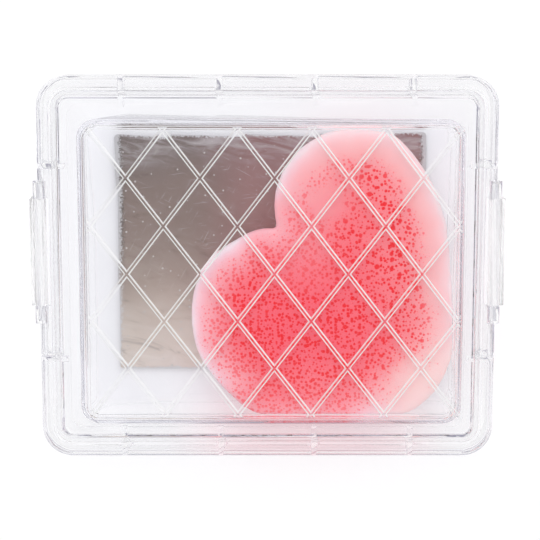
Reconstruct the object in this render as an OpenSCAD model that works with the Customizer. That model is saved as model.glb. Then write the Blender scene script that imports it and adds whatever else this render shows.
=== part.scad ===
// Clear lidded box that keeps paint wet: a shallow tray with a wide rim, a lid with a diamond
// lattice, two side latches, a heart-shaped wetting pad and a metal mixing plate.
// It lies on its base. X runs along the length, Y along the width, and +Z is up.
// The origin is on the table, below the middle of the rim.

/* [Rim] */
// Length of the rim over its outer faces
rim_l = 150; // [144:1:200]
// Width of the rim over its outer faces
rim_w = 126.5; // [126:0.5:170]
// Corner radius of the rim in plan
rim_r = 10; // [8.5:0.5:14]
// Thickness of the tray's flange
flange_t = 1.6; // [1.2:0.1:2.2]
// Drop of the rim's skirt below the top of the flange
skirt_h = 7.5; // [5:0.5:9]
// Thickness of the rim's skirt
skirt_t = 1.5; // [1.2:0.1:2]

/* [Well of the tray] */
// Height of the tray from the table to the top of its flange
tray_h = 19; // [19:0.5:26]
// Thickness of the tray's walls
wall_t = 1.6; // [1.2:0.1:2]
// Thickness of the tray's floor
floor_t = 1.8; // [1.2:0.1:1.8]
// Distance from the edge of the rim to the mouth of the well, on the left
band_left = 14; // [12:0.1:16]
// Distance from the edge of the rim to the mouth of the well, on the right
band_right = 11.6; // [11.4:0.1:14]
// Distance from the edge of the rim to the mouth of the well, in front
band_front = 11.6; // [11.4:0.1:12]
// Distance from the edge of the rim to the mouth of the well, at the back
band_back = 15.9; // [12:0.1:16]
// Corner radius of the well at its mouth
well_r = 5; // [4.5:0.5:9]
// How far each wall leans in between the mouth and the table
wall_lean = 2.2; // [1:0.1:2.4]
// Radius of the cove between floor and wall
cove_r = 1.4; // [0.8:0.1:1.8]
// Reach of the stiffening gussets below the flange, from the edge of the rim
gusset_l = 7; // [4:0.5:8]

/* [Seal] */
// Distance from the edge of the rim to the outer face of the seal channel
channel_in = 3.8; // [3.6:0.1:4.2]
// Width of the seal channel over its walls
channel_w = 3.6; // [3.4:0.1:4.2]
// Thickness of the seal channel's walls
channel_t = 0.9; // [0.8:0.1:1]
// Height of the seal channel above the lid plate
channel_h = 2.3; // [2:0.1:3]
// Thickness of the channel's roof
roof_t = 1; // [0.8:0.1:1.2]
// Corner radius of the channel's outer face
channel_r = 6.6; // [6:0.1:11]
// Thickness of the sealing bead on the flange
bead_t = 1.1; // [0.8:0.1:1.3]
// Height of the sealing bead above the flange
bead_h = 2; // [1.4:0.1:2.1]
// Clearance round the seal in its groove, and between seal and bead
seal_gap = 0.05; // [0.02:0.01:0.1]

/* [Lid] */
// Thickness of the lid plate
lid_t = 1.6; // [1.2:0.1:2.4]
// Gap between the flange and the lid plate
lid_gap = 0.1; // [0.05:0.01:0.3]
// Width of the step that stiffens the plate inside the seal channel
step_w = 2.3; // [2:0.1:2.4]
// Height of that step above the lid plate
step_h = 0.7; // [0.3:0.1:0.8]
// Corner radius of the step's inner edge
step_r = 4; // [3:0.5:6]
// Height of the lip round the lid's edge above the plate
lip_h = 1.3; // [0.8:0.1:1.8]
// Thickness of that lip
lip_t = 1.2; // [0.9:0.1:1.6]
// Depth of the locating ring below the lid plate
plug_h = 1.6; // [1:0.1:1.7]
// Thickness of the locating ring
plug_t = 1.2; // [0.9:0.1:1.6]
// Clearance between the locating ring and the wall of the well
plug_gap = 0.35; // [0.2:0.05:0.6]
// Distance from the seal channel to the raised panel, on the left
panel_left = 7.6; // [2:0.1:9]
// Distance from the seal channel to the raised panel, on the right
panel_right = 3; // [2.2:0.1:9]
// Distance from the seal channel to the raised panel, in front
panel_front = 5.6; // [2:0.1:9]
// Distance from the seal channel to the raised panel, at the back
panel_back = 9; // [2:0.1:10]
// Corner radius of the panel
panel_r = 3; // [2:0.5:6]
// Height of the panel above the lid plate
panel_h = 1; // [0.6:0.1:1.6]
// Width of the panel's sloping edge
slope_w = 0.6; // [0.3:0.1:0.9]

/* [Lattice] */
// Columns of diamonds
cols = 5; // [3:1:8]
// Rows of diamonds
rows = 3; // [2:1:5]
// Margin between the panel's foot and the lattice at the two ends
lattice_in_x = 1.6; // [1.2:0.1:6]
// Margin between the panel's foot and the lattice at the two sides
lattice_in_y = 1.1; // [1:0.1:6]
// Width of a ridge at its foot
ridge_w = 1.6; // [1:0.1:1.9]
// Width of a ridge at its crest
ridge_top_w = 0.6; // [0.4:0.1:0.9]
// Height of a ridge above the panel
ridge_h = 0.6; // [0.5:0.1:1.2]

/* [Ribs] */
// Thickness of the rim ribs
rib_t = 1.7; // [1.2:0.1:2.2]
// Height of a rim rib above the seal channel
rib_over = 0.4; // [0.2:0.1:0.8]
// Length of a rib at the two ends
end_rib_l = 8.9; // [8.7:0.1:9.4]
// Length of a rib at the two sides
side_rib_l = 10; // [8.7:0.1:10.6]
// Distance from the middle to the inner ribs of a side
side_rib_a = 15.5; // [8:0.5:24]
// Distance from the middle to the outer ribs of a side
side_rib_b = 47.5; // [32:0.5:54]
// Half of the distance between the two ribs of an end
end_rib_a = 32; // [31:0.5:36]
// Shift of the end ribs from the middle of the width
end_rib_dy = 2; // [1:0.5:3]

/* [Latches] */
// Length of a latch between its lugs
latch_l = 35.2; // [24:0.2:36]
// Shift of the latches from the middle of the width
latch_dy = 5.5; // [3:0.5:6]
// Distance from the edge of the rim in to the hinge axis
hinge_in = 0.6; // [0.4:0.1:0.9]
// Height of the hinge axis above the lid plate
hinge_up = 0.9; // [0.8:0.1:1.2]
// Radius of the latch's barrel
barrel_r = 2; // [1.8:0.1:2.1]
// Radius of the hinge stubs
stub_r = 1.2; // [0.9:0.05:1.3]
// Length of a hinge stub
stub_l = 5; // [3:0.5:5.5]
// Radial clearance of a stub in its lug
stub_gap = 0.06; // [0.03:0.01:0.1]
// Outer radius of the lugs
lug_r = 2.15; // [2.1:0.05:2.3]
// Length of a lug
lug_l = 5.6; // [5.4:0.1:6.4]
// Gap between each end of the latch and its lug
latch_gap = 0.3; // [0.2:0.05:0.5]
// Thickness of the latch's flap
flap_t = 1.6; // [1.2:0.1:1.8]
// Gap between the skirt and the inner face of the flap
flap_gap = 1.2; // [1.1:0.1:1.3]
// How far the latch reaches below the skirt
flap_below = 4; // [3.5:0.5:6]
// How far the finger grip flares out beyond the flap
grip_out = 1.4; // [0.8:0.1:2]
// Height of the flared part
grip_h = 6; // [4:0.5:8]
// How far the catch stands out of the skirt
catch_out = 0.8; // [0.6:0.1:0.9]
// Length of the catch
catch_l = 30; // [20:1:32]
// Overlap of hook and catch
hook_bite = 0.5; // [0.3:0.1:0.6]
// Height of the hook
hook_h = 1.5; // [1:0.1:2]
// Gap between the closed hook and the catch
hook_gap = 0.2; // [0.1:0.05:0.3]
// Corner radius of the latch in plan
latch_r = 1.6; // [1:0.1:1.8]

/* [Mixing plate] */
// Thickness of the metal plate
plate_t = 0.8; // [0.5:0.1:0.8]
// Distance from the left edge of the floor to the plate
plate_left = 8.1; // [3:0.1:14]
// Distance from the right edge of the floor to the plate
plate_right = 7.7; // [3:0.1:14]
// Distance from the front edge of the floor to the plate
plate_front = 12.5; // [3:0.1:16]
// Distance from the back edge of the floor to the plate
plate_back = 2.2; // [2:0.1:14]
// Corner radius of the plate
plate_r = 1.5; // [1:0.1:4]
// Gap under the plate, and between plate and pad
rest_gap = 0.05; // [0.02:0.01:0.1]

/* [Wetting pad] */
// Thickness of the pad
pad_t = 14.2; // [10:0.1:14.4]
// Radius of the back lobe
lobe_back_r = 27.5; // [22:0.5:28]
// Radius of the left lobe
lobe_left_r = 29.5; // [22:0.5:30]
// Radius of the blunt tip
tip_r = 27.4; // [20:0.2:27.8]
// Gap between the pad and the right and front walls
pad_gap = 0.3; // [0.2:0.1:1]
// Gap between the back lobe and the back wall
pad_back = 1.6; // [0.3:0.1:10]
// Gap between the left lobe and the left wall
pad_left = 35.3; // [20:0.1:38]
// From the tip's centre to the back lobe's centre, along the length
lobe_back_dx = -3.8; // [-8:0.1:-1]
// From the tip's centre to the left lobe's centre, along the width
lobe_left_dy = 5; // [3:0.1:10]
// How much smaller the round beside the notch is than the back lobe
corner_back = 2.5; // [1:0.1:6]
// How far that round stands out of the back lobe, towards the notch
corner_out = 1.5; // [0:0.1:2.5]
// How much smaller the round beside the notch is than the left lobe
corner_left = 4; // [1:0.1:6]
// How much smaller the round in front is than the left lobe
corner_front = 1.3; // [0.5:0.1:4]
// How far that round stays behind the tip's front
front_in = 0.6; // [0.2:0.1:3]
// Rounding of the pad's edges
pad_edge_r = 2.2; // [2:0.1:5]

/* [Hidden] */

fn_round = 96;
fn_pad = 36;
// Cut on moulded edges, and how far joined solids run into each other
chamfer = 0.3;
overlap = 0.4;
// Angle step along coves and rounded edges
arc_step = 15;

clear_plastic = [0.86, 0.90, 0.95, 0.4];
clear_rubber = [0.93, 0.94, 0.96, 0.6];
pale_metal = [0.62, 0.60, 0.58];
coral_foam = [0.98, 0.52, 0.55];

rim_x = rim_l / 2;
rim_y = rim_w / 2;
well_x = rim_x - (band_left + band_right) / 2;
well_y = rim_y - (band_front + band_back) / 2;
well_at = [(band_left - band_right) / 2, (band_front - band_back) / 2];
skirt_z = tray_h - skirt_h;
floor_lean = wall_lean * (tray_h - floor_t) / tray_h;
floor_x = well_x - floor_lean;
floor_y = well_y - floor_lean;

lid_z = tray_h + lid_gap;
lid_top = lid_z + lid_t;
channel_x = rim_x - channel_in;
channel_y = rim_y - channel_in;
channel_top = lid_top + channel_h;
groove_top = channel_top - roof_t;
step_x = channel_x - channel_w - step_w;
step_y = channel_y - channel_w - step_w;
panel_top = lid_top + panel_h;
panel_x = channel_x - channel_w - (panel_left + panel_right) / 2;
panel_y = channel_y - channel_w - (panel_front + panel_back) / 2;
panel_at = [(panel_left - panel_right) / 2, (panel_front - panel_back) / 2];
lattice_x = panel_x - lattice_in_x;
lattice_y = panel_y - lattice_in_y;
pitch_x = 2 * lattice_x / cols;
pitch_y = 2 * lattice_y / rows;

hinge_x = rim_x - hinge_in;
hinge_z = lid_top + hinge_up;
notch_w = latch_l + 2 * latch_gap;
flap_in_x = rim_x + flap_gap;
flap_out_x = flap_in_x + flap_t;
flap_z = skirt_z - flap_below;
grip_x = flap_out_x + grip_out;
hook_top = skirt_z - hook_gap;

plate_z = floor_t + rest_gap;
pad_z = plate_z + plate_t + rest_gap;
// The pad is pressed into the tray, so its side leans as the tray's walls do, up to its widest place
pad_slope = wall_lean / tray_h;
pad_lean = pad_slope * (tray_h - pad_z - pad_t + pad_edge_r);
pad_room = [well_x - pad_lean, well_y - pad_lean];
tip_at = well_at + [pad_room[0] - pad_gap - tip_r, tip_r + pad_gap - pad_room[1]];
lobe_back_at = [tip_at[0] + lobe_back_dx, well_at[1] + pad_room[1] - pad_back - lobe_back_r];
lobe_left_at = [well_at[0] + pad_left + lobe_left_r - pad_room[0], tip_at[1] + lobe_left_dy];
corner_back_at = lobe_back_at + [-corner_back - corner_out, corner_back];
corner_left_at = lobe_left_at + [-corner_left, corner_left];
corner_front_r = lobe_left_r - corner_front;
corner_front_at = [lobe_left_at[0] + corner_front, tip_at[1] - tip_r + front_in + corner_front_r];

// Rounded rectangle with half sizes hx and hy
module plan(hx, hy, r) {
    square([2 * hx, 2 * (hy - r)], center = true);
    square([2 * (hx - r), 2 * hy], center = true);
    for (x = [-1, 1], y = [-1, 1])
        translate([x * (hx - r), y * (hy - r)]) circle(r, $fn = fn_round);
}

// Carries a profile round a rounded rectangle with half sizes hx and hy. The profile's x is the
// distance outside that rectangle, and its y is the height.
module ring(hx, hy, r) {
    cx = hx - r;
    cy = hy - r;
    for (turn = [0, 180]) rotate(turn) {
        translate([cx, cy, 0]) rotate_extrude(angle = 90, $fn = fn_round) translate([r, 0]) children();
        translate([-cx, cy, 0]) rotate(90)
            rotate_extrude(angle = 90, $fn = fn_round) translate([r, 0]) children();
        translate([cx, cy, 0]) rotate([90, 0, 0]) linear_extrude(2 * cy) translate([r, 0]) children();
        translate([cx, cy, 0]) rotate([90, 0, 90]) mirror([0, 0, 1])
            linear_extrude(2 * cx) translate([r, 0]) children();
    }
}

// Profile of an upright bar from x0 to x1 and z0 to z1, with its top corners cut
module bar_top(x0, x1, z0, z1) {
    polygon([[x0, z0], [x1, z0], [x1, z1 - chamfer], [x1 - chamfer, z1], [x0 + chamfer, z1],
             [x0, z1 - chamfer]]);
}

// Profile of a hanging bar, with its bottom corners cut and its foot moved in by lean
module bar_foot(x0, x1, z0, z1, lean) {
    polygon([[x0, z1], [x1, z1], [x1 - lean, z0 + chamfer], [x1 - lean - chamfer, z0],
             [x0 - lean + chamfer, z0], [x0 - lean, z0 + chamfer]]);
}

// Puts its children at the ribs of the two sides, with their X pointing in from the rim's edge
module at_side_ribs() {
    for (x = [-side_rib_b, -side_rib_a, side_rib_a, side_rib_b], s = [-1, 1])
        translate([x, s * rim_y, 0]) rotate(-90 * s) children();
}

// The same at the two ends
module at_end_ribs() {
    for (s = [-1, 1], y = [-end_rib_a, end_rib_a])
        translate([s * rim_x, end_rib_dy + y, 0]) rotate(90 + 90 * s) children();
}

// Puts its children at the right latch, and mirrored at the left one
module at_latches() {
    translate([0, latch_dy, 0]) {
        children();
        mirror([1, 0, 0]) children();
    }
}

// Extrudes a profile drawn in X and Z evenly to both sides along Y
module across(width) {
    rotate([90, 0, 0]) linear_extrude(width, center = true) children();
}

module well_profile() {
    cove = [for (a = [90 : -arc_step : 0])
        [-floor_lean - cove_r * (1 - sin(a)), floor_t + cove_r * (1 - cos(a))]];
    foot = wall_t - wall_lean;
    polygon(concat([[-floor_lean - cove_r, 0], [foot - chamfer, 0], [foot, chamfer], [wall_t, tray_h],
                    [chamfer, tray_h], [0, tray_h - chamfer]], cove));
}

module skirt_profile() {
    polygon([[-skirt_t, skirt_z + chamfer], [-skirt_t + chamfer, skirt_z], [-chamfer, skirt_z],
             [0, skirt_z + chamfer], [0, tray_h - chamfer], [-chamfer, tray_h], [-skirt_t, tray_h]]);
}

// Fin in the corner between flange and skirt
module gusset() {
    across(rib_t) polygon([[skirt_t - overlap, skirt_z + 2 * chamfer], [skirt_t, skirt_z + 2 * chamfer],
                           [gusset_l, tray_h - flange_t], [gusset_l, tray_h - flange_t + overlap],
                           [skirt_t - overlap, tray_h - flange_t + overlap]]);
}

// Bar on the right end of the skirt that the latch hooks under
module catch() {
    across(catch_l) translate([rim_x, skirt_z])
        polygon([[-overlap, chamfer], [0, 0], [catch_out, 0], [catch_out, catch_out],
                 [0, 3 * catch_out], [-overlap, 3 * catch_out]]);
}

module tray() {
    color(clear_plastic) {
        translate(well_at) {
            ring(well_x, well_y, well_r) well_profile();
            inset = cove_r - overlap;
            linear_extrude(floor_t) plan(floor_x - inset, floor_y - inset, well_r - floor_lean - inset);
        }
        translate([0, 0, tray_h - flange_t]) linear_extrude(flange_t) difference() {
            plan(rim_x - overlap, rim_y - overlap, rim_r - overlap);
            translate(well_at) plan(well_x + wall_t / 2, well_y + wall_t / 2, well_r + wall_t / 2);
        }
        ring(rim_x, rim_y, rim_r) skirt_profile();
        ring(channel_x, channel_y, channel_r)
            bar_top(-(channel_w + bead_t) / 2, -(channel_w - bead_t) / 2, tray_h - overlap, tray_h + bead_h);
        at_side_ribs() gusset();
        at_end_ribs() gusset();
        at_latches() catch();
    }
}

// Rim rib, from just inside the edge of the rim to its inner end
module rib(length) {
    z = channel_top + rib_over;
    end = chamfer + length;
    across(rib_t) polygon([[chamfer, lid_z + overlap], [end, lid_z + overlap], [end, z - 2 * chamfer],
                           [end - 2 * chamfer, z], [3 * chamfer, z], [chamfer, z - 2 * chamfer]]);
}

// One straight ridge over the whole height of the lattice, starting at its lower left corner
module ridge() {
    z = panel_top + ridge_h;
    rotate([0, 0, atan2(pitch_y, pitch_x)]) rotate([90, 0, 90])
        translate([0, 0, -ridge_w]) linear_extrude(rows * norm([pitch_x, pitch_y]) + 2 * ridge_w)
            polygon([[-ridge_w / 2, lid_top], [ridge_w / 2, lid_top], [ridge_w / 2, panel_top],
                     [ridge_top_w / 2, z], [-ridge_top_w / 2, z], [-ridge_w / 2, panel_top]]);
}

module lattice() {
    half = ridge_w / 2;
    intersection() {
        translate([-lattice_x - half, -lattice_y - half, lid_top])
            cube([2 * lattice_x + ridge_w, 2 * lattice_y + ridge_w, panel_h + 2 * ridge_h]);
        for (side = [0, 1], k = [1 - rows : cols - 1])
            mirror([side, 0, 0]) translate([k * pitch_x - lattice_x, -lattice_y, 0]) ridge();
    }
}

module panel() {
    ring(panel_x, panel_y, panel_r)
        polygon([[-slope_w - overlap, lid_top - overlap], [0, lid_top - overlap], [0, lid_top],
                 [-slope_w, panel_top], [-slope_w - overlap, panel_top]]);
    translate([0, 0, lid_z]) linear_extrude(panel_top - lid_z)
        plan(panel_x - slope_w, panel_y - slope_w, panel_r - slope_w);
    lattice();
}

// The two lugs that carry the right latch
module lugs() {
    for (s = [-1, 1]) translate([hinge_x, s * (notch_w + lug_l) / 2, hinge_z]) rotate([90, 0, 0])
        cylinder(r = lug_r, h = lug_l, center = true, $fn = fn_round);
}

// Room for the right latch: a notch in the edge and the bore through its lugs
module latch_room() {
    translate([channel_x + chamfer, -notch_w / 2, lid_z - overlap])
        cube([channel_in + lug_r, notch_w, 2 * lug_r + lid_t]);
    translate([hinge_x, 0, hinge_z]) rotate([90, 0, 0])
        cylinder(r = stub_r + stub_gap, h = notch_w + 2 * lug_l + 2 * overlap, center = true, $fn = fn_round);
}

module lid() {
    color(clear_plastic) difference() {
        union() {
            translate([0, 0, lid_z]) linear_extrude(lid_t)
                plan(rim_x - overlap, rim_y - overlap, rim_r - overlap);
            ring(rim_x, rim_y, rim_r) {
                z = lid_top + lip_h;
                polygon([[-lip_t, lid_z], [-chamfer, lid_z], [0, lid_z + chamfer], [0, z - chamfer],
                         [-chamfer, z], [chamfer - lip_t, z], [-lip_t, z - chamfer]]);
            }
            ring(channel_x, channel_y, channel_r) bar_top(-channel_w, 0, lid_z, channel_top);
            translate([0, 0, lid_z]) linear_extrude(lid_t + step_h) difference() {
                plan(channel_x - channel_t, channel_y - channel_t, channel_r - channel_t);
                plan(step_x, step_y, step_r);
            }
            translate(well_at) ring(well_x - plug_gap, well_y - plug_gap, well_r - plug_gap)
                bar_foot(-plug_t, 0, lid_z - plug_h, lid_z + overlap, 2 * wall_lean * plug_h / tray_h);
            translate(panel_at) panel();
            at_side_ribs() rib(side_rib_l);
            at_end_ribs() rib(end_rib_l);
            at_latches() lugs();
        }
        ring(channel_x, channel_y, channel_r) translate([channel_t - channel_w, lid_z - overlap])
            square([channel_w - 2 * channel_t, groove_top - lid_z + overlap]);
        at_latches() latch_room();
    }
}

module seal_ring() {
    z0 = tray_h + bead_h + seal_gap;
    color(clear_rubber) ring(channel_x, channel_y, channel_r)
        translate([channel_t - channel_w + seal_gap, z0])
            square([channel_w - 2 * channel_t - 2 * seal_gap, groove_top - seal_gap - z0]);
}

// Section of the right latch: barrel, flap, flared grip and hook
module latch_profile() {
    grip_top = flap_z + grip_h;
    edge_r = flap_t / 2;
    hook_x = rim_x + catch_out - hook_bite;
    translate([hinge_x, hinge_z]) circle(barrel_r, $fn = fn_round);
    polygon([[hinge_x, hinge_z], [hinge_x, hinge_z + barrel_r], [flap_out_x, hinge_z],
             [flap_out_x, grip_top], [flap_in_x, grip_top], [flap_in_x, hinge_z - edge_r]]);
    polygon([[flap_in_x, grip_top], [flap_out_x, grip_top], [grip_x, flap_z + edge_r],
             [grip_x - edge_r, flap_z], [flap_in_x + edge_r, flap_z + edge_r],
             [flap_in_x, hook_top - hook_h]]);
    translate([grip_x - edge_r, flap_z + edge_r]) circle(edge_r, $fn = fn_round);
    polygon([[flap_in_x + overlap, hook_top], [hook_x, hook_top], [hook_x, hook_top - chamfer],
             [flap_in_x, hook_top - hook_h], [flap_in_x + overlap, hook_top - hook_h]]);
}

module latch() {
    reach = grip_x - hinge_x + 2 * barrel_r;
    intersection() {
        across(latch_l) latch_profile();
        translate([hinge_x - 2 * barrel_r, 0, flap_z - overlap])
            linear_extrude(hinge_z + 2 * barrel_r - flap_z) plan(reach, latch_l / 2, latch_r);
    }
    translate([hinge_x, 0, hinge_z]) rotate([90, 0, 0])
        cylinder(r = stub_r, h = latch_l + 2 * stub_l, center = true, $fn = fn_round);
}

module latch_right() {
    color(clear_plastic) translate([0, latch_dy, 0]) latch();
}

module latch_left() {
    color(clear_plastic) translate([0, latch_dy, 0]) mirror([1, 0, 0]) latch();
}

module mixing_plate() {
    color(pale_metal)
        translate(concat(well_at + [plate_left - plate_right, plate_front - plate_back] / 2, [plate_z]))
            linear_extrude(plate_t) plan(floor_x - (plate_left + plate_right) / 2,
                                         floor_y - (plate_front + plate_back) / 2, plate_r);
}

// Round cake with softened edges, and r its radius at its widest place
module cake(at, r) {
    foot = r - pad_slope * (pad_t - 2 * pad_edge_r);
    arc = [for (a = [0 : arc_step : 90]) [pad_edge_r * (sin(a) - 1), pad_edge_r * (1 - cos(a))]];
    low = [for (p = arc) [foot + p[0], p[1]]];
    high = [for (p = arc) [r + p[0], pad_t - p[1]]];
    translate(concat(at, [pad_z])) rotate_extrude($fn = fn_pad)
        polygon(concat([[0, 0]], low, [for (i = [len(high) - 1 : -1 : 0]) high[i]], [[0, pad_t]]));
}

module wetting_pad() {
    back = [[lobe_back_at, lobe_back_r], [corner_back_at, lobe_back_r - corner_back]];
    left = [[lobe_left_at, lobe_left_r], [corner_left_at, lobe_left_r - corner_left],
            [corner_front_at, corner_front_r]];
    color(coral_foam) for (lobe = [back, left]) hull() {
        for (part = lobe) cake(part[0], part[1]);
        cake(tip_at, tip_r);
    }
}

tray();
lid();
seal_ring();
latch_left();
latch_right();
mixing_plate();
wetting_pad();
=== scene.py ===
"""A clear lidded box that keeps paint wet, with its metal mixing plate and its heart-shaped pad."""

from math import cos, radians, sin

import bmesh
import bpy
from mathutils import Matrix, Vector
from mathutils.kdtree import KDTree


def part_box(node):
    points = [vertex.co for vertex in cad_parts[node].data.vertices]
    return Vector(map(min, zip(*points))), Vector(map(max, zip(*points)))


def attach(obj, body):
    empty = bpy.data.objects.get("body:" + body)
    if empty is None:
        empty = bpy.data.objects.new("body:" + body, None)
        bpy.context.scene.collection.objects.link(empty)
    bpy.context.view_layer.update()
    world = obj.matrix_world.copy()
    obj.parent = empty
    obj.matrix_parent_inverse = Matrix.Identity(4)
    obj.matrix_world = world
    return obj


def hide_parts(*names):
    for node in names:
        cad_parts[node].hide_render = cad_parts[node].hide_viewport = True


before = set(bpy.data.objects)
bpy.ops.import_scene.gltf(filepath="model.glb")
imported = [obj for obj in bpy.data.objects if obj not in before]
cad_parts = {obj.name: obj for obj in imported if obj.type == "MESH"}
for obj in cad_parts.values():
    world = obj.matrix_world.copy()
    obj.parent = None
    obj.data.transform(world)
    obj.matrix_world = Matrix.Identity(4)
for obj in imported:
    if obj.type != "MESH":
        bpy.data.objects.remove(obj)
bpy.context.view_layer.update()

# -------------------------------------------------------------------------------------------
# Tray. An injection moulding in clear polystyrene: floor, leaning walls, flange and skirt in
# one. The polished mould leaves smooth faces, and every corner comes out with a small radius.
# Only the underside is frosted, by a blasted floor in the mould.

MM = 0.001
MOULD_RADIUS = 0.25 * MM
# Edges that turn by more than this get the radius
SHARP = radians(28)
# The loose triangles are joined at points this close, and those this flat become one face
SAME_POINT, SAME_FACE = 0.001 * MM, radians(0.5)
POLYSTYRENE_IOR = 1.5
# The tints of the solid plastic: on its skin, through its thickness, and on lamplight
SKIN_TINT, DEPTH_TINT, DEPTH_DENSITY, PASSED_TINT = "#fefefe", "#e6e6ee", 14.0, "#fefeff"
# Light that has bounced more often than this is stray, and adds up to one pale colour
STRAY_AFTER, STRAY = 9, "#b0aebb"
# Where the painted paler light of the front edge begins and is full, and the stretch beside the pad
# where a painted pink reflection of the pad lies: middle and reaches
FRONT_EDGE = (-30 * MM, -50 * MM)
BESIDE_PAD, BESIDE_REACH = (14 * MM, -58 * MM, 10 * MM), (52 * MM, 22 * MM)
# The melt's flow leaves waves this long and high, and frost keeps this share of a face's tilt
FLOW_LENGTH, FLOW_HEIGHT = 7 * MM, 0.08 * MM
FROST_TILT = 0.35


def srgb(code):
    """Linear colour with full alpha from an sRGB hex code such as "#8f8d9d"."""
    parts = [int(code[i : i + 2], 16) / 255 for i in (1, 3, 5)]
    return [p / 12.92 if p <= 0.04045 else ((p + 0.055) / 1.055) ** 2.4 for p in parts] + [1.0]


def add(tree, kind, links=(), stops=(), **settings):
    """Adds a node. A setting is a property or a socket's value, and stops fill a ramp. A link
    feeds a socket from a plain value, a socket, or a node, which means its first output in use."""
    node = tree.nodes.new(kind)
    for name, value in settings.items():
        if hasattr(node, name):
            setattr(node, name, value)
        else:
            node.inputs[name.replace("_", " ")].default_value = value
    for socket, source in dict(links).items():
        if isinstance(source, bpy.types.Node):
            source = next(out for out in source.outputs if out.enabled)
        if isinstance(source, bpy.types.NodeSocket):
            tree.links.new(source, node.inputs[socket])
        else:
            node.inputs[socket].default_value = source
    for i, (at, code) in enumerate(stops):
        marks = node.color_ramp.elements
        mark = marks[i] if i < 2 else marks.new(at)
        mark.position, mark.color = at, srgb(code)
    return node


def new_material(name):
    """An empty node material, with its tree and its output node."""
    material = bpy.data.materials.new(name)
    material.use_nodes = True
    material.node_tree.nodes.clear()
    return material, material.node_tree, material.node_tree.nodes.new("ShaderNodeOutputMaterial")


def let_lamps_through(tree, output, shader, stray):
    """Shows the clear shader to the eye, and plain tinted passage to lamplight on its way to
    matt things. Light that has bounced inside for long ends in the stray colour."""
    path = add(tree, "ShaderNodeLightPath")
    caught = add(tree, "ShaderNodeMath", operation="GREATER_THAN",
                 links={0: path.outputs["Ray Depth"], 1: STRAY_AFTER})
    average = add(tree, "ShaderNodeEmission", Strength=1.0, links={"Color": stray})
    shader = add(tree, "ShaderNodeMixShader", links={0: caught, 1: shader, 2: average})
    lamplight = add(tree, "ShaderNodeMath", operation="MAXIMUM",
                    links={0: path.outputs["Is Shadow Ray"], 1: path.outputs["Is Diffuse Ray"]})
    passage = add(tree, "ShaderNodeBsdfTransparent", Color=srgb(PASSED_TINT))
    mix = add(tree, "ShaderNodeMixShader", links={0: lamplight, 1: shader, 2: passage})
    tree.links.new(mix.outputs[0], output.inputs["Surface"])


def clear_polystyrene():
    """Clear polystyrene from a polished mould: it bends light strongly and shines sharply. The
    melt's flow leaves faint waves in it."""
    material, tree, output = new_material("clear_polystyrene")
    place = add(tree, "ShaderNodeTexCoord").outputs["Object"]
    flow = add(tree, "ShaderNodeTexNoise", Scale=1 / FLOW_LENGTH, Detail=2.0,
               links={"Vector": place})
    wave = add(tree, "ShaderNodeBump", Strength=0.01, Distance=FLOW_HEIGHT, links={"Height": flow})

    # Painted light: the stray colour is painted paler along the front edge, and beside the pad both
    # it and the skin's tint are painted pink, a painted reflection of the pad
    axis = add(tree, "ShaderNodeSeparateXYZ", links={0: place})
    front = add(tree, "ShaderNodeMapRange", interpolation_type="SMOOTHSTEP",
                From_Min=FRONT_EDGE[0], From_Max=FRONT_EDGE[1], links={"Value": axis.outputs["Y"]})
    beside = add(tree, "ShaderNodeVectorMath", operation="DISTANCE",
                 links={0: place, 1: BESIDE_PAD})
    beside = add(tree, "ShaderNodeMapRange", interpolation_type="SMOOTHSTEP",
                 From_Min=BESIDE_REACH[0], From_Max=BESIDE_REACH[1], links={"Value": beside})
    painted_pink_share = add(tree, "ShaderNodeMath", operation="MULTIPLY", links={0: front, 1: beside})
    stray = add(tree, "ShaderNodeMix", data_type="RGBA",
                links={0: front, 6: srgb(STRAY), 7: srgb("#eeebf1")})
    stray = add(tree, "ShaderNodeMix", data_type="RGBA",
                links={0: painted_pink_share, 6: stray, 7: srgb("#ecd0d7")})
    # The skin's tint beside the pad is a painted pink reflection of the pad
    tone = add(tree, "ShaderNodeMix", data_type="RGBA",
               links={0: painted_pink_share, 6: srgb(SKIN_TINT), 7: srgb("#fff8f9")})
    plastic = add(tree, "ShaderNodeBsdfPrincipled", Roughness=0.02, IOR=POLYSTYRENE_IOR,
                  Transmission_Weight=1.0, links={"Base Color": tone, "Normal": wave})
    let_lamps_through(tree, output, plastic, stray)
    tint = add(tree, "ShaderNodeVolumeAbsorption", Color=srgb(DEPTH_TINT), Density=DEPTH_DENSITY)
    tree.links.new(tint.outputs[0], output.inputs["Volume"])
    material.cycles.emission_sampling = "NONE"
    return material


def frosted_polystyrene(name, clearness):
    """Clear polystyrene from a blasted mould: it scatters the light that comes up inside it, so
    it looks white however it tilts. Clearness is the share that still passes straight on."""
    material, tree, output = new_material(name)
    tilt = add(tree, "ShaderNodeNewGeometry")
    upwards = add(tree, "ShaderNodeVectorMath", operation="MULTIPLY_ADD",
                  links={0: tilt.outputs["Normal"], 1: (FROST_TILT,) * 3, 2: (0, 0, 1)})
    upwards = add(tree, "ShaderNodeVectorMath", operation="NORMALIZE", links={0: upwards})
    plastic = add(tree, "ShaderNodeBsdfPrincipled", Base_Color=srgb("#ffffff"), Roughness=0.35,
                  IOR=POLYSTYRENE_IOR, Transmission_Weight=clearness, links={"Normal": upwards})
    let_lamps_through(tree, output, plastic, srgb(STRAY))
    material.cycles.emission_sampling = "NONE"
    return material


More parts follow.
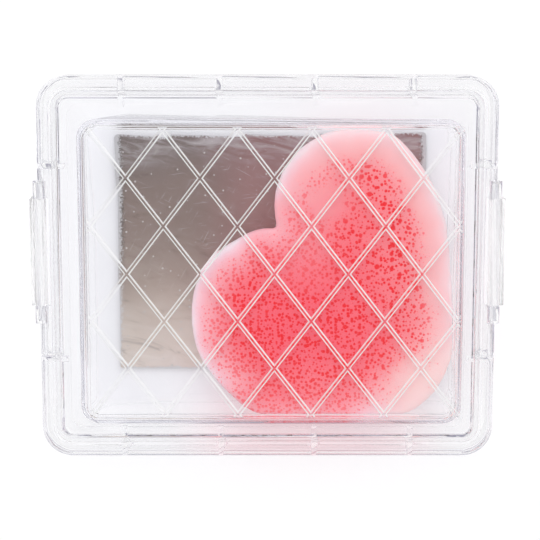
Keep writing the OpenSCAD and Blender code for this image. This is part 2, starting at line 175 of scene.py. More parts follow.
def moulded(node, name, body, material, radius=MOULD_RADIUS):
    """Stands in for a CAD node with the same shape, whose sharp corners get a small radius."""
    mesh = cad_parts[node].data.copy()
    mesh.materials.clear()
    mesh.materials.append(material)
    piece = bpy.data.objects.new(name, mesh)
    bpy.context.scene.collection.objects.link(piece)
    shape = bmesh.new()
    shape.from_mesh(mesh)
    bmesh.ops.remove_doubles(shape, verts=shape.verts, dist=SAME_POINT)
    bmesh.ops.dissolve_limit(shape, angle_limit=SAME_FACE, verts=shape.verts, edges=shape.edges)
    for face in shape.faces:
        face.smooth = True
    shape.to_mesh(mesh)
    shape.free()
    rounding = piece.modifiers.new("mould_radius", "BEVEL")
    rounding.width = radius
    rounding.segments = 2
    rounding.limit_method = "ANGLE"
    rounding.angle_limit = SHARP
    rounding.harden_normals = True
    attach(piece, body)
    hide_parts(node)
    return piece


clear = clear_polystyrene()
clear_tray = moulded("tray", "clear_tray", "tray", clear)
clear_tray.data.materials.append(frosted_polystyrene("frosted_underside", 0.45))
clear_tray.modifiers["mould_radius"].material = 0
for face in clear_tray.data.polygons:
    if face.center.z < SAME_POINT and face.normal.z < 0:
        face.material_index = 1

# -------------------------------------------------------------------------------------------
# Mixing plate. A sheet of thin rolled steel, cut square and laid loose on the tray's floor.
# Wiping and damp have left it with scratches, specks, streaks and a frosted edge.

PLATE_LOW, PLATE_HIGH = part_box("mixing_plate")
PLATE_RADIUS = 0.1 * MM
# A painted blurred reflection: bright at the front, at 0, and dark at the back, at 1
PAINTED_REFLECTION_TONES = [(0.0, "#f6ece6"), (1.0, "#8c817e"), (0.15, "#ebe0d8"), (0.27, "#dacdc4"),
              (0.36, "#c1b1a8"), (0.48, "#b2a29a"), (0.62, "#a2918a"), (0.80, "#998983"),
              (0.92, "#908481")]
# How far the stain's border wanders, and over what length
WANDER, WANDER_LENGTH = 5 * MM, 22 * MM
# The smears and the dried streaks: which way they lie, and how long and wide they are
SMEAR_WAY, SMEAR_SIZE = radians(-14), (16 * MM, 5 * MM, 1)
STREAK_WAY, STREAK_SIZE = radians(-9), (20 * MM, 4 * MM, 1)
# Between which places, from left to right, the painted pink light from the pad comes up
PAD_LIGHT_FROM, PAD_LIGHT_TO = -28 * MM, -2 * MM
# The way in degrees, length and width in mm, and rarity of the scratches. 0.3 mm is as fine as
# shows.
SCRATCHES = ((62, 7, 0.3, 0.69), (-28, 9, 0.3, 0.69), (8, 8, 0.3, 0.70))
SPECK_CELL = 3 * MM
# The sizes of the frost's patches, of its grains, and of the finer ones at the ends
FROST_PATCH, FROST_GRAIN, FROST_GRIT = 9 * MM, 0.9 * MM, 0.6 * MM
# How far in the frost and the rust reach at noise 0, and how much further at noise 1
EDGE_FROST, EDGE_PATCHES, EDGE_GRAINS = -1.4 * MM, 2.4 * MM, 3.6 * MM
END_FROST, END_FROST_AT_BACK, END_GRAINS = -2.6 * MM, 1.3 * MM, 6.0 * MM
RUST, RUST_GRAINS = -0.8 * MM, 6.0 * MM


def scuffed_steel():
    """Rolled steel, dulled by wiping: it has a blurred shine, fine scratches and white specks,
    and its edges are frosted."""
    material, tree, output = new_material("scuffed_steel")
    place = add(tree, "ShaderNodeTexCoord").outputs["Object"]
    axis = add(tree, "ShaderNodeSeparateXYZ", links={0: place})

    # The tone of a painted blurred reflection, from front to back along a wandering line, and
    # pinker to the right
    wander = add(tree, "ShaderNodeTexNoise", Scale=1 / WANDER_LENGTH, Detail=2.0,
                 links={"Vector": place})
    wander = add(tree, "ShaderNodeMapRange", To_Min=-WANDER, To_Max=WANDER,
                 links={"Value": wander})
    along = add(tree, "ShaderNodeMath", operation="ADD", links={0: axis.outputs["Y"], 1: wander})
    along = add(tree, "ShaderNodeMapRange", From_Min=PLATE_LOW[1], From_Max=PLATE_HIGH[1],
                links={"Value": along})
    tone = add(tree, "ShaderNodeValToRGB", links={0: along}, stops=PAINTED_REFLECTION_TONES)
    across = add(tree, "ShaderNodeMapRange", From_Min=PLATE_LOW[0], From_Max=PLATE_HIGH[0],
                 To_Max=0.8, links={"Value": axis.outputs["X"]})
    tone = add(tree, "ShaderNodeMix", data_type="RGBA", blend_type="MULTIPLY",
               links={0: across, 6: tone, 7: srgb("#ffdde0")})

    # Cloudy smears from a wiping cloth, drawn out along the sheet
    turned = add(tree, "ShaderNodeMapping", vector_type="TEXTURE", Rotation=(0, 0, SMEAR_WAY),
                 Scale=SMEAR_SIZE, links={"Vector": place})
    smear = add(tree, "ShaderNodeTexNoise", Scale=1.0, Detail=5.0, Roughness=0.62, Distortion=1.2,
                links={"Vector": turned})
    smear = add(tree, "ShaderNodeValToRGB", links={0: smear},
                stops=[(0.28, "#d4d0ce"), (0.75, "#ffffff"), (0.42, "#f6f3f0")])
    tone = add(tree, "ShaderNodeMix", data_type="RGBA", blend_type="MULTIPLY",
               links={0: 1.0, 6: tone, 7: smear})

    # Dried paint water leaves a haze in streaks along the back; beside the pad, a pink blush is
    # painted light from the pad
    turned = add(tree, "ShaderNodeMapping", vector_type="TEXTURE", Rotation=(0, 0, STREAK_WAY),
                 Scale=STREAK_SIZE, links={"Vector": place})
    haze = add(tree, "ShaderNodeTexNoise", Scale=1.0, Detail=4.0, Roughness=0.6, Distortion=1.5,
               links={"Vector": turned})
    haze = add(tree, "ShaderNodeMapRange", From_Min=0.42, From_Max=0.68, To_Max=0.75,
               links={"Value": haze})
    rear = add(tree, "ShaderNodeMapRange", interpolation_type="SMOOTHSTEP", From_Min=0.85,
               From_Max=0.97, links={"Value": along})
    haze = add(tree, "ShaderNodeMath", operation="MULTIPLY", links={0: haze, 1: rear})
    # A painted pink reflection of the pad, rising towards it
    painted_pad_light = add(tree, "ShaderNodeMapRange", interpolation_type="SMOOTHSTEP", From_Min=PAD_LIGHT_FROM,
                From_Max=PAD_LIGHT_TO, To_Max=0.45, links={"Value": axis.outputs["X"]})
    for share, code in ((painted_pad_light, "#bd8184"), (haze, "#d6ced0")):
        tone = add(tree, "ShaderNodeMix", data_type="RGBA",
                   links={0: share, 6: tone, 7: srgb(code)})

    # Hair scratches
    scratched = None
    for angle, length, width, least in SCRATCHES:
        lane = add(tree, "ShaderNodeMapping", vector_type="TEXTURE",
                   Rotation=(0, 0, radians(angle)), Scale=(length * MM, width * MM, 1),
                   links={"Vector": place})
        mark = add(tree, "ShaderNodeTexNoise", Scale=1.0, Detail=1.0, Distortion=0.4,
                   links={"Vector": lane})
        mark = add(tree, "ShaderNodeMapRange", From_Min=least, From_Max=least + 0.06, To_Max=0.55,
                   links={"Value": mark})
        if scratched:
            mark = add(tree, "ShaderNodeMath", operation="MAXIMUM", links={0: scratched, 1: mark})
        scratched = mark

    # Dried specks, one in a few of the cells
    cell = add(tree, "ShaderNodeTexVoronoi", voronoi_dimensions="2D", Scale=1 / SPECK_CELL,
               Randomness=1.0, links={"Vector": place})
    chance = add(tree, "ShaderNodeSeparateColor", links={0: cell.outputs["Color"]})
    reach = add(tree, "ShaderNodeMapRange", From_Min=0.7, From_Max=1.0, To_Min=0.0, To_Max=0.13,
                links={"Value": chance})
    speck = add(tree, "ShaderNodeMath", operation="SUBTRACT",
                links={0: reach, 1: cell.outputs["Distance"]})
    speck = add(tree, "ShaderNodeMapRange", From_Min=-0.02, From_Max=0.03, links={"Value": speck})

    # Frost creeps in from every edge, at the ends further towards the back, and is broken into
    # grains
    inside = []
    for name, low, high in zip("XY", PLATE_LOW, PLATE_HIGH):
        off = add(tree, "ShaderNodeMath", operation="SUBTRACT",
                  links={0: axis.outputs[name], 1: (low + high) / 2})
        off = add(tree, "ShaderNodeMath", operation="ABSOLUTE", links={0: off})
        inside.append(add(tree, "ShaderNodeMath", operation="SUBTRACT",
                          links={0: (high - low) / 2, 1: off}))
    from_end, from_edge = inside
    grain = add(tree, "ShaderNodeTexNoise", Scale=1 / FROST_GRAIN, Detail=3.0, Roughness=0.8,
                links={"Vector": place})
    patch = add(tree, "ShaderNodeTexNoise", Scale=1 / FROST_PATCH, Detail=2.0,
                links={"Vector": place})
    creep = add(tree, "ShaderNodeMath", operation="MULTIPLY_ADD",
                links={0: patch, 1: EDGE_PATCHES, 2: EDGE_FROST})
    creep = add(tree, "ShaderNodeMath", operation="MULTIPLY_ADD",
                links={0: grain, 1: EDGE_GRAINS, 2: creep})
    frost = add(tree, "ShaderNodeMath", operation="SUBTRACT", links={0: creep, 1: from_edge})
    frost = add(tree, "ShaderNodeMapRange", From_Min=1.0 * MM, From_Max=1.3 * MM, To_Max=0.9,
                links={"Value": frost})
    grit = add(tree, "ShaderNodeTexNoise", Scale=1 / FROST_GRIT, Detail=3.0, Roughness=0.8,
               links={"Vector": place})
    ends = add(tree, "ShaderNodeMath", operation="MULTIPLY_ADD",
               links={0: along, 1: END_FROST_AT_BACK, 2: END_FROST})
    ends = add(tree, "ShaderNodeMath", operation="MULTIPLY_ADD",
               links={0: grit, 1: END_GRAINS, 2: ends})
    ends = add(tree, "ShaderNodeMath", operation="SUBTRACT", links={0: ends, 1: from_end})
    ends = add(tree, "ShaderNodeMapRange", From_Min=-0.3 * MM, From_Max=0.4 * MM, To_Max=0.85,
               links={"Value": ends})
    frost = add(tree, "ShaderNodeMath", operation="MAXIMUM", links={0: frost, 1: ends})

    # Rust has begun inside the frost, in the back half of both ends
    rust = add(tree, "ShaderNodeMath", operation="MULTIPLY_ADD",
               links={0: grain, 1: RUST_GRAINS, 2: RUST})
    rust = add(tree, "ShaderNodeMath", operation="SUBTRACT", links={0: rust, 1: from_end})
    rust = add(tree, "ShaderNodeMapRange", From_Min=-0.3 * MM, From_Max=0.7 * MM, To_Max=0.6,
               links={"Value": rust})
    back = add(tree, "ShaderNodeMapRange", From_Min=0.35, From_Max=0.65, links={"Value": along})
    rust = add(tree, "ShaderNodeMath", operation="MULTIPLY", links={0: rust, 1: back})

    worn = add(tree, "ShaderNodeMath", operation="MAXIMUM", links={0: scratched, 1: speck})
    for share, code in ((rust, "#5f5855"), (worn, "#d8d2d0"), (frost, "#f0eff1")):
        tone = add(tree, "ShaderNodeMix", data_type="RGBA",
                   links={0: share, 6: tone, 7: srgb(code)})
    rough = add(tree, "ShaderNodeMapRange", From_Max=1.0, To_Min=0.42, To_Max=0.8,
                links={"Value": frost})
    bump = add(tree, "ShaderNodeBump", Strength=0.25, Distance=0.1 * MM, links={"Height": worn})
    steel = add(tree, "ShaderNodeBsdfPrincipled", Metallic=0.65,
                links={"Base Color": tone, "Roughness": rough, "Normal": bump})
    tree.links.new(steel.outputs[0], output.inputs["Surface"])
    return material


moulded("mixing_plate", "steel_plate", "tray", scuffed_steel(), PLATE_RADIUS)

# -------------------------------------------------------------------------------------------
# Wetting pad. A thick cake of fine-celled sponge, cut as a blunt heart. Full of water it
# swells, so its top is crowned and its edges are round, and it lies loose on the mixing plate.

PAD_LOW, PAD_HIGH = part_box("wetting_pad")
PAD_MIDDLE = (PAD_LOW + PAD_HIGH) / 2
# The cells of the even mesh, and how often and how far its corners are relaxed
CELL, RELAX_TURNS, RELAX = 1.0 * MM, 4, 0.5
# How far the sides bulge, and how far the top drops at its edge from how far in
SWELL, CROWN, CROWN_REACH = 0.4 * MM, 0.45 * MM, 16 * MM
# Where the tray's walls meet the flange, how they lean, and the room that they leave
WALL_FRONT, WALL_RIGHT, WALL_TOP, WALL_LEAN = -51.65 * MM, 63.4 * MM, 19 * MM, 2.2 / 19
WALL_ROOM = 0.1 * MM
# The tip is pressed towards the front wall, from here to there
PRESSED, PRESS_FROM, PRESS_TO = 1.6 * MM, 43 * MM, 49 * MM
# The back lobe's right shoulder is cut flatter than round
SHOULDER, SHOULDER_REACH, SHOULDER_CUT = Vector((0.86, 0.51, 0)), 58 * MM, 0.5
# Two places are full by a millimetre: where, how widely and which way, in mm
UNEVEN = (((-1, 11.5), 12, (0, 1.4)), ((56, -46), 15, (0.9, -0.8)))
# From here on, places are set from the pad's middle
NOTCH = Vector((-15 * MM, 14 * MM, 0))
TIP_CORNER = (42 * MM, -46 * MM, 7 * MM)
BARE_SPOT = (1.5 * MM, 24 * MM, 7 * MM)
PALE_LOBE, PALE_HOLLOW = (-8 * MM, 33 * MM, 7 * MM), (-7 * MM, 7 * MM, 7 * MM)
# From the edge, at 0, to the depth at which the sponge keeps all its dye, at 1. The pale edge is
# partly painted light, lighter to offset the shade on the rounded edge
PALE_EDGE_DEPTH = 24 * MM
CORAL = [(0.0, "#ffe6ec"), (1.0, "#ff7281"), (0.055, "#ffd0d9"), (0.125, "#ffbcc6"),
         (0.19, "#ffb0b8"), (0.275, "#ffa5ae"), (0.39, "#ff9da6"), (0.525, "#ff8f99"),
         (0.75, "#ff7c89")]
PEACH = [(0.0, "#ffe2e4"), (1.0, "#ff8c92"), (0.055, "#ffd2d5"), (0.17, "#ffbfc1"),
         (0.32, "#ffafb1"), (0.48, "#ffa4a7"), (0.75, "#ff979c")]
# The grains' spacing in mm, and as shares of it the least and greatest size, and what the
# front adds
GRAINS = ((1.35, 0.10, 0.40, 0.05), (2.6, -0.22, 0.38, -0.08))
# How far in the grains begin and are full
GRAIN_MARGIN = (3.2 * MM, 9.5 * MM)
# The sizes of the dye's clouds and of its ragged borders, and the size and depth of the ragged
# edges of a grain
CLOUD, RAGGED_BORDER, RAGGED_EDGE, RAGGED_DEPTH = 13 * MM, 7 * MM, 0.9 * MM, 0.25 * MM
# Fine pores are drawn this wide so that they show
PORE, PORE_DEPTH = 0.5 * MM, 0.15 * MM
WATER_IOR = 1.33


def eased(value, start, end):
    """Runs smoothly from 0 at start to 1 at end."""
    share = min(1.0, max(0.0, (value - start) / (end - start)))
    return share * share * (3 - 2 * share)


def swollen_heart():
    """The cut solid with an even mesh, relaxed until its corners are soft, pressed square
    against the front wall, and then crowned."""
    piece = bpy.data.objects.new("heart_pad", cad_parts["wetting_pad"].data.copy())
    bpy.context.scene.collection.objects.link(piece)
    even = piece.modifiers.new("even_mesh", "REMESH")
    even.mode = "VOXEL"
    even.voxel_size = CELL
    graph = bpy.context.evaluated_depsgraph_get()
    mesh = bpy.data.meshes.new_from_object(piece.evaluated_get(graph))
    piece.modifiers.clear()
    piece.data = mesh
    mesh.materials.clear()
    shape = bmesh.new()
    shape.from_mesh(mesh)
    for _ in range(RELAX_TURNS):
        bmesh.ops.smooth_vert(shape, verts=shape.verts, factor=RELAX,
                              use_axis_x=True, use_axis_y=True, use_axis_z=True)
    shape.normal_update()
    for v in shape.verts:
        v.co += Vector((v.normal.x, v.normal.y, 0)) * SWELL
        v.co.y -= (PRESSED * eased(-v.co.y, PRESS_FROM, PRESS_TO)
                   * eased(v.co.z, PAD_LOW.z, PAD_MIDDLE.z))
        v.co -= SHOULDER * SHOULDER_CUT * max(0.0, v.co.dot(SHOULDER) - SHOULDER_REACH)
        for place, reach, push in UNEVEN:
            off = Vector((v.co.x - place[0] * MM, v.co.y - place[1] * MM)).length
            v.co += Vector((push[0], push[1], 0)) * MM * eased(-off, -reach * MM, 0)
        room = WALL_LEAN * (WALL_TOP - v.co.z) + WALL_ROOM
        v.co.x = min(v.co.x, WALL_RIGHT - room)
        v.co.y = max(v.co.y, WALL_FRONT + room)

    # The top falls to the nearest edge, and the material reads how far in a point lies
    waist = [v.co for v in shape.verts if abs(v.co.z - PAD_MIDDLE.z) < CELL]
    outline = KDTree(len(waist))
    for i, at in enumerate(waist):
        outline.insert((at.x, at.y, 0), i)
    outline.balance()
    inwards = shape.verts.layers.float.new("inwards")
    for v in shape.verts:
        v[inwards] = outline.find((v.co.x, v.co.y, 0))[2]
        fall = max(0.0, 1 - v[inwards] / CROWN_REACH)
        share = max(0.0, (v.co.z - PAD_MIDDLE.z) / (PAD_HIGH.z - PAD_MIDDLE.z))
        v.co.z -= CROWN * fall * fall * share
        # The pale margin is narrow in front, and beside the notch
        off = v.co - PAD_MIDDLE
        notch = (Vector((off.x, off.y, 0)) - NOTCH).length
        v[inwards] += 5 * MM * eased(-off.y, 33 * MM, 43 * MM) * eased(-off.x, -19 * MM, -5 * MM)
        v[inwards] += 4 * MM * eased(-notch, -17 * MM, -7 * MM)
    for face in shape.faces:
        face.smooth = True
    shape.to_mesh(mesh)
    shape.free()
    return piece


def moist_sponge():
    """Dyed cellulose sponge full of water: smooth, soft to light at its edge, with red grains of
    dye."""
    material, tree, output = new_material("moist_cellulose_sponge")
    place = add(tree, "ShaderNodeTexCoord").outputs["Object"]
    middle = add(tree, "ShaderNodeMapping", Location=-PAD_MIDDLE, links={"Vector": place})
    axis = add(tree, "ShaderNodeSeparateXYZ", links={0: middle})
    inwards = add(tree, "ShaderNodeAttribute", attribute_name="inwards").outputs["Fac"]

    # Dye has bled out of the edge: coral inside, pale pink outside, more peach to the back and
    # right, and palest in the tip's corner. The pale edge is also painted light, lighter to offset
    # the shade where the edge rounds over
    cloud = add(tree, "ShaderNodeTexNoise", Scale=1 / CLOUD, Detail=2.0, links={"Vector": place})
    cloud = add(tree, "ShaderNodeMath", operation="MULTIPLY_ADD",
                links={0: cloud, 1: 6 * MM, 2: -3 * MM})
    depth = add(tree, "ShaderNodeMath", operation="ADD", links={0: inwards, 1: cloud})
    kept = add(tree, "ShaderNodeMath", operation="MINIMUM", links={0: depth, 1: inwards})
    half = add(tree, "ShaderNodeMath", operation="ADD", links={0: kept, 1: depth})
    depth = add(tree, "ShaderNodeMath", operation="MULTIPLY", links={0: half, 1: 0.5 / PALE_EDGE_DEPTH})
    coral = add(tree, "ShaderNodeValToRGB", links={0: depth}, stops=CORAL)
    peach = add(tree, "ShaderNodeValToRGB", links={0: depth}, stops=PEACH)
    slant = add(tree, "ShaderNodeMath", operation="MULTIPLY_ADD",
                links={0: axis.outputs["Y"], 1: 0.55, 2: axis.outputs["X"]})
    side = add(tree, "ShaderNodeMapRange", interpolation_type="SMOOTHSTEP", From_Min=-12 * MM,
               From_Max=34 * MM, links={"Value": slant})
    body = add(tree, "ShaderNodeMix", data_type="RGBA", links={0: side, 6: coral, 7: peach})
    corner = add(tree, "ShaderNodeVectorMath", operation="DISTANCE",
                 links={0: middle, 1: TIP_CORNER})
    corner = add(tree, "ShaderNodeMapRange", interpolation_type="SMOOTHSTEP", From_Min=11 * MM,
                 From_Max=34 * MM, To_Min=0.85, To_Max=0.0, links={"Value": corner})
    body = add(tree, "ShaderNodeMix", data_type="RGBA",
               links={0: corner, 6: body, 7: srgb("#ffd9d6")})

    # The grains lie everywhere but in a margin that is broader to the back and right, in a bare
    # spot of the back lobe and in the tip's corner, with a ragged border
    margin = add(tree, "ShaderNodeMath", operation="MULTIPLY_ADD",
                 links={0: axis.outputs["X"], 1: -0.045, 2: inwards})
    margin = add(tree, "ShaderNodeMath", operation="MULTIPLY_ADD",
                 links={0: axis.outputs["Y"], 1: -0.055, 2: margin})
    margin = add(tree, "ShaderNodeMapRange", From_Min=GRAIN_MARGIN[0], From_Max=GRAIN_MARGIN[1],
                 clamp=False, links={"Value": margin})
    spot = add(tree, "ShaderNodeVectorMath", operation="DISTANCE", links={0: middle, 1: BARE_SPOT})
    bare = add(tree, "ShaderNodeMapRange", From_Min=3 * MM, From_Max=9 * MM, links={"Value": spot})
    corner = add(tree, "ShaderNodeMath", operation="MULTIPLY_ADD",
                 links={0: corner, 1: -1.3, 2: 1.0})
    drift = add(tree, "ShaderNodeTexNoise", Scale=1 / RAGGED_BORDER, Detail=3.0, Roughness=0.6,
                links={"Vector": place})
    drift = add(tree, "ShaderNodeMath", operation="MULTIPLY_ADD", links={0: drift, 1: 1.6, 2: -0.8})
    zone = margin
    for limit in (1.0, bare, corner):
        zone = add(tree, "ShaderNodeMath", operation="MINIMUM", links={0: zone, 1: limit})
    zone = add(tree, "ShaderNodeMath", operation="ADD", links={0: zone, 1: drift})
    zone = add(tree, "ShaderNodeMapRange", From_Min=0.0, From_Max=0.9, links={"Value": zone})

    # Two sizes of grain, the fine ones thicker in front and on the left, where the coarse ones
    # are thinner
    ragged = add(tree, "ShaderNodeTexNoise", Scale=1 / RAGGED_EDGE, Detail=1.0,
                 links={"Vector": place})
    ragged = add(tree, "ShaderNodeVectorMath", operation="MULTIPLY_ADD",
                 links={0: ragged.outputs["Color"], 1: (RAGGED_DEPTH,) * 3, 2: place})
    front = add(tree, "ShaderNodeMapRange", From_Min=-30 * MM, From_Max=30 * MM, To_Min=1.0,
                To_Max=0.0, links={"Value": slant})
    grains = None
    for pitch, small, large, lift in GRAINS:
        cell = add(tree, "ShaderNodeTexVoronoi", voronoi_dimensions="2D",
                   Scale=1 / (pitch * MM), Randomness=1.0, links={"Vector": ragged})
        chance = add(tree, "ShaderNodeSeparateColor", links={0: cell.outputs["Color"]})
        reach = add(tree, "ShaderNodeMapRange", To_Min=small, To_Max=large,
                    links={"Value": chance})
        reach = add(tree, "ShaderNodeMath", operation="MULTIPLY_ADD",
                    links={0: front, 1: lift, 2: reach})
        reach = add(tree, "ShaderNodeMath", operation="MULTIPLY", links={0: reach, 1: zone})
        grain = add(tree, "ShaderNodeMath", operation="SUBTRACT",
                    links={0: reach, 1: cell.outputs["Distance"]})
        grain = add(tree, "ShaderNodeMapRange", From_Min=-0.05, From_Max=0.06,
                    links={"Value": grain})
        if grains:
            grain = add(tree, "ShaderNodeMath", operation="MAXIMUM", links={0: grains, 1: grain})
        grains = grain

    # Between the grains the sponge is soaked with dye, less so in two paler places
    core = add(tree, "ShaderNodeMapRange", interpolation_type="SMOOTHSTEP", From_Min=4 * MM,
               From_Max=15 * MM, links={"Value": inwards})
    pale = add(tree, "ShaderNodeVectorMath", operation="DISTANCE", links={0: middle, 1: PALE_LOBE})
    pale = add(tree, "ShaderNodeMapRange", From_Min=9 * MM, From_Max=25 * MM, To_Min=0.2,
               links={"Value": pale})
    core = add(tree, "ShaderNodeMath", operation="MULTIPLY", links={0: core, 1: pale})
    pale = add(tree, "ShaderNodeVectorMath", operation="DISTANCE",
               links={0: middle, 1: PALE_HOLLOW})
    pale = add(tree, "ShaderNodeMapRange", interpolation_type="SMOOTHSTEP", From_Min=2 * MM,
               From_Max=17 * MM, To_Min=0.45, links={"Value": pale})
    core = add(tree, "ShaderNodeMath", operation="MULTIPLY", links={0: core, 1: pale})
    core = add(tree, "ShaderNodeMath", operation="MULTIPLY", links={0: core, 1: zone})
    soaked = add(tree, "ShaderNodeMath", operation="MULTIPLY_ADD",
                 links={0: front, 1: 0.22, 2: 0.36})
    soaked = add(tree, "ShaderNodeMath", operation="MULTIPLY", links={0: core, 1: soaked})
    body = add(tree, "ShaderNodeMix", data_type="RGBA",
               links={0: soaked, 6: body, 7: srgb("#fb4659")})
    dye = add(tree, "ShaderNodeMix", data_type="RGBA",
              links={0: core, 6: srgb("#ff7a83"), 7: srgb("#f80016")})
    body = add(tree, "ShaderNodeMix", data_type="RGBA", links={0: grains, 6: body, 7: dye})

    pores = add(tree, "ShaderNodeTexNoise", Scale=1 / PORE, Detail=3.0, links={"Vector": place})
    bump = add(tree, "ShaderNodeBump", Strength=0.2, Distance=PORE_DEPTH, links={"Height": pores})
    sponge = add(tree, "ShaderNodeBsdfPrincipled", Roughness=0.6, IOR=WATER_IOR,
                 Subsurface_Weight=0.25, Subsurface_Radius=(1.0, 0.35, 0.3),
                 Subsurface_Scale=4 * MM, links={"Base Color": body, "Normal": bump})
    tree.links.new(sponge.outputs[0], output.inputs["Surface"])
    return material


heart_pad = swollen_heart()
heart_pad.data.materials.append(moist_sponge())
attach(heart_pad, "tray")
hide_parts("wetting_pad")

# -------------------------------------------------------------------------------------------
# Lid. A second clear moulding: a flat plate with a raised panel under a lattice of ridges. The
# ridges' flanks come out of a blasted part of the mould, so they're frosted and catch the
# light. Those that face the back left get a clearer copy of the frosted plastic, so that they
# show darker: painted shade.

PANEL_TOP, RIDGE_TOP, LATTICE_END = 21.7 * MM, 22.3 * MM, 64 * MM
FLANK_LEAST, FLANK_MOST = radians(25), radians(85)
UP = Vector((0, 0, 1))

clear_lid = moulded("lid", "clear_lid", "lid", clear)
clear_lid.data.materials.append(frosted_polystyrene("frosted_flank", 0.28))
clear_lid.data.materials.append(frosted_polystyrene("painted_shade_flank", 0.48))
clear_lid.modifiers["mould_radius"].material = 0
for face in clear_lid.data.polygons:
    on_lattice = PANEL_TOP < face.center.z < RIDGE_TOP and abs(face.center.x) < LATTICE_END
    if on_lattice and FLANK_LEAST < face.normal.angle(UP) < FLANK_MOST:
        # A clearer copy of the frosted plastic paints shade on the flanks that face the back left
        face.material_index = 2 if face.normal.x < 0 < face.normal.y else 1

# -------------------------------------------------------------------------------------------
# Seal. A moulded ring of translucent silicone, pressed into the channel in the lid. It is
# clear enough to vanish in the channel.

SEAL_RADIUS = 0.1 * MM
SILICONE_IOR = 1.41


def milky_silicone():
    """Unfilled silicone rubber: soft, slightly milky, with a dull skin."""
    material, tree, output = new_material("milky_silicone")
    rubber = add(tree, "ShaderNodeBsdfPrincipled", Base_Color=srgb("#ffffff"), Roughness=0.25,
                 IOR=SILICONE_IOR, Transmission_Weight=1.0)
    let_lamps_through(tree, output, rubber, srgb(STRAY))
    return material


moulded("seal_ring", "silicone_seal", "lid", milky_silicone(), SEAL_RADIUS)

# -------------------------------------------------------------------------------------------
# Latches. One clear moulding at each end, clipped by its two stubs between the lid's lugs. It
# swings up and outwards, and its hook catches below the tray's skirt. Its skin is satin.


def satin_polystyrene():
    """Clear polystyrene from a mould that was left unpolished for grip: it blurs what is behind
    it, and looks whiter than the box."""
    material, tree, output = new_material("satin_polystyrene")
    plastic = add(tree, "ShaderNodeBsdfPrincipled", Base_Color=srgb("#ffffff"), Roughness=0.15,
                  IOR=POLYSTYRENE_IOR, Transmission_Weight=0.8)
    let_lamps_through(tree, output, plastic, srgb("#f6f4fa"))
    material.cycles.emission_sampling = "NONE"
    return material


satin = satin_polystyrene()
for side in ("left", "right"):
    moulded("latch_" + side, "clear_latch_" + side, "latch_" + side, satin)

# -------------------------------------------------------------------------------------------
# Table. A matt white sheet of paper under the box. It glows a little for the eye and through
# the plastic, so that it shows as white there, and still takes the box's shadow.

TABLE_HALF, TABLE_DROP, TABLE_GLOW = 3.0, 0.2 * MM, 0.10

table_mesh = bpy.data.meshes.new("table_top")
table = bpy.data.objects.new("table_top", table_mesh)
bpy.context.scene.collection.objects.link(table)
shape = bmesh.new()
bmesh.ops.create_grid(shape, x_segments=1, y_segments=1, size=TABLE_HALF)
bmesh.ops.translate(shape, verts=shape.verts, vec=(0, 0, -TABLE_DROP))
shape.to_mesh(table_mesh)
shape.free()
paper, tree, output = new_material("white_table")
matt = add(tree, "ShaderNodeBsdfDiffuse", Color=srgb("#f0f0f0"))
path = add(tree, "ShaderNodeLightPath")
seen = add(tree, "ShaderNodeMath", operation="MAXIMUM",
           links={0: path.outputs["Is Camera Ray"], 1: path.outputs["Is Transmission Ray"]})
glow = add(tree, "ShaderNodeMath", operation="MULTIPLY", links={0: seen, 1: TABLE_GLOW})
glow = add(tree, "ShaderNodeEmission", Color=srgb("#ffffff"), links={"Strength": glow})
both = add(tree, "ShaderNodeAddShader", links={0: matt, 1: glow})
tree.links.new(both.outputs[0], output.inputs["Surface"])
table_mesh.materials.append(paper)

# -------------------------------------------------------------------------------------------
# Studio. An even white room, which the plastic mirrors and bends as a dome that is darker near
# the horizon and straight up, and one softbox above the back.

ROOM_LEVEL = 0.87
# By height, from 0 at the horizon to 1 straight up
DOME = [(0.05, "#b2b0bd"), (0.965, "#b6b6ba"), (0.24, "#ffffff"), (0.90, "#ffffff")]
SOFTBOX_SIZE, SOFTBOX_WATTS, SOFTBOX_HEIGHT, SOFTBOX_DISTANCE = 0.6, 2.3, radians(62), 0.9

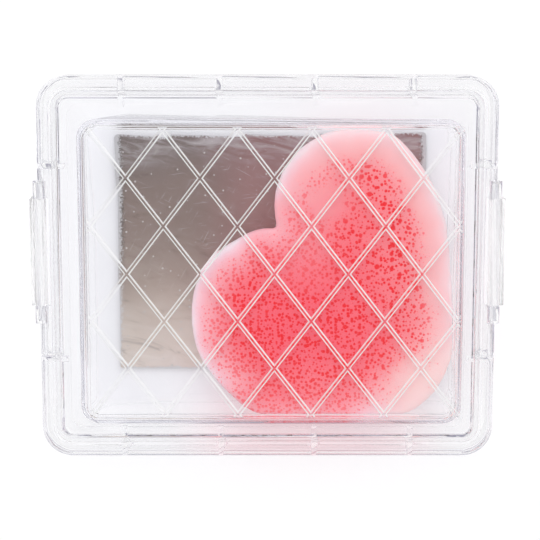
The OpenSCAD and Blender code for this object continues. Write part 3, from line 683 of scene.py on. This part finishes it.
world = bpy.data.worlds.new("studio")
bpy.context.scene.world = world
world.use_nodes = True
tree = world.node_tree
tree.nodes.clear()
path = add(tree, "ShaderNodeLightPath")
direction = add(tree, "ShaderNodeTexCoord")
height = add(tree, "ShaderNodeSeparateXYZ", links={0: direction.outputs["Generated"]})
dome = add(tree, "ShaderNodeValToRGB", links={0: height.outputs["Z"]}, stops=DOME)
bent = add(tree, "ShaderNodeMath", operation="MAXIMUM",
           links={0: path.outputs["Is Transmission Ray"], 1: path.outputs["Is Glossy Ray"]})
room = add(tree, "ShaderNodeBackground", Color=srgb("#ffffff"), Strength=ROOM_LEVEL)
backdrop = add(tree, "ShaderNodeBackground", Color=srgb("#ffffff"), Strength=1.0)
dome = add(tree, "ShaderNodeBackground", Strength=1.0, links={"Color": dome})
mix = add(tree, "ShaderNodeMixShader",
          links={0: path.outputs["Is Camera Ray"], 1: room, 2: backdrop})
mix = add(tree, "ShaderNodeMixShader", links={0: bent, 1: mix, 2: dome})
add(tree, "ShaderNodeOutputWorld", links={"Surface": mix})

lamp = bpy.data.lights.new("softbox_back", "AREA")
lamp.shape = "SQUARE"
lamp.size = SOFTBOX_SIZE
lamp.energy = SOFTBOX_WATTS
softbox = bpy.data.objects.new("softbox_back", lamp)
bpy.context.scene.collection.objects.link(softbox)
softbox.location = Vector((0, cos(SOFTBOX_HEIGHT), sin(SOFTBOX_HEIGHT))) * SOFTBOX_DISTANCE
softbox.rotation_euler = (-softbox.location).to_track_quat("-Z", "Y").to_euler()
# Its own square shape would show in the lid as a hard-edged patch
softbox.visible_glossy = False
softbox.visible_transmission = False

# -------------------------------------------------------------------------------------------
# Camera. It stands almost straight above the box, a little to the back.

CAMERA_TILT, CAMERA_REACH, AIM = radians(9), 0.520, Vector((0, 0, 0.022))
# In pixels: the frame, the focal length, and the point that lies straight ahead of the lens
FRAME, FOCAL, AHEAD_X, AHEAD_Y = 540, 1583, 267.48, 269.04
# In millimetres, as the lens is
SENSOR = 36

camera = bpy.data.objects.new("camera", bpy.data.cameras.new("camera"))
bpy.context.scene.collection.objects.link(camera)
camera.location = AIM + CAMERA_REACH * Vector((0, sin(CAMERA_TILT), cos(CAMERA_TILT)))
camera.rotation_euler = (-CAMERA_TILT, 0, 0)
camera.data.sensor_width = SENSOR
camera.data.lens = SENSOR * FOCAL / FRAME
camera.data.shift_x = (FRAME / 2 - AHEAD_X) / FRAME
camera.data.shift_y = (AHEAD_Y - FRAME / 2) / FRAME
bpy.context.scene.camera = camera

# -------------------------------------------------------------------------------------------
# Light paths. Light crosses up to a dozen faces of clear plastic, and bounces between them.

BOUNCES = 48

scene = bpy.context.scene
scene.view_settings.view_transform = "Standard"
scene.cycles.max_bounces = BOUNCES
scene.cycles.transmission_bounces = BOUNCES
scene.cycles.glossy_bounces = BOUNCES
scene.cycles.transparent_max_bounces = BOUNCES
